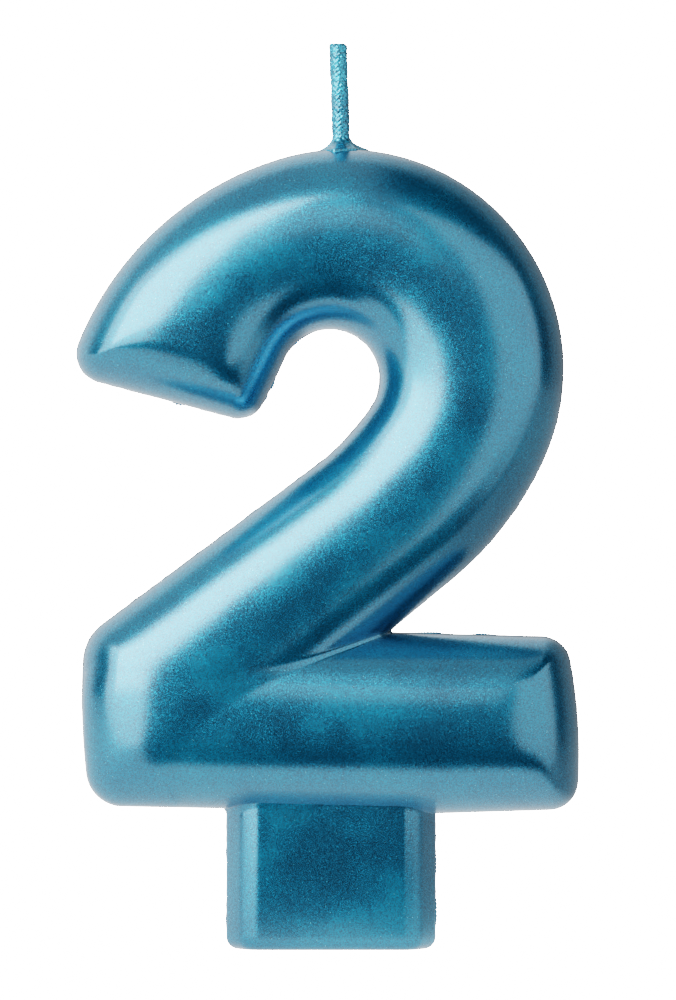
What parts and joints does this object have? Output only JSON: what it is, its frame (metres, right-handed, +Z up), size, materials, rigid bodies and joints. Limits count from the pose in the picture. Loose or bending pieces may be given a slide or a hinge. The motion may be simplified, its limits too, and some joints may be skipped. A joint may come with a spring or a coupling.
{
  "type": "number candle",
  "caption": "Moulded wax birthday candle shaped as the numeral two, with pillowed faces, a flat foot to push into a cake and a short stiff wick, finished in metallic blue.",
  "frame": {"origin": "centre of the foot's flat underside", "axes": "+Z up along the numeral, front faces -Y, +X to the right seen from the front"},
  "size_m": [0.0456, 0.013, 0.0825],
  "materials": {
    "bare_wax": "bare white paraffin wax, slightly translucent",
    "seal_wax": "dripped paraffin wax",
    "wick_cotton": "undyed twisted cotton",
    "priming_wax": "hard stiffening wax",
    "metallic_lacquer": "satin metallic blue lacquer with fine flake",
    "wick_lacquer": "the same lacquer over the lay of the wick, rougher"
  },
  "bodies": {
    "root": {"wax_body": "bare_wax", "wick_seal": "seal_wax", "wick_ply_1": "wick_cotton", "wick_ply_2": "wick_cotton", "wick_ply_3": "wick_cotton", "wick_priming": "priming_wax", "body_coat": "metallic_lacquer", "wick_coat": "wick_lacquer"}
  },
  "joints": []
}
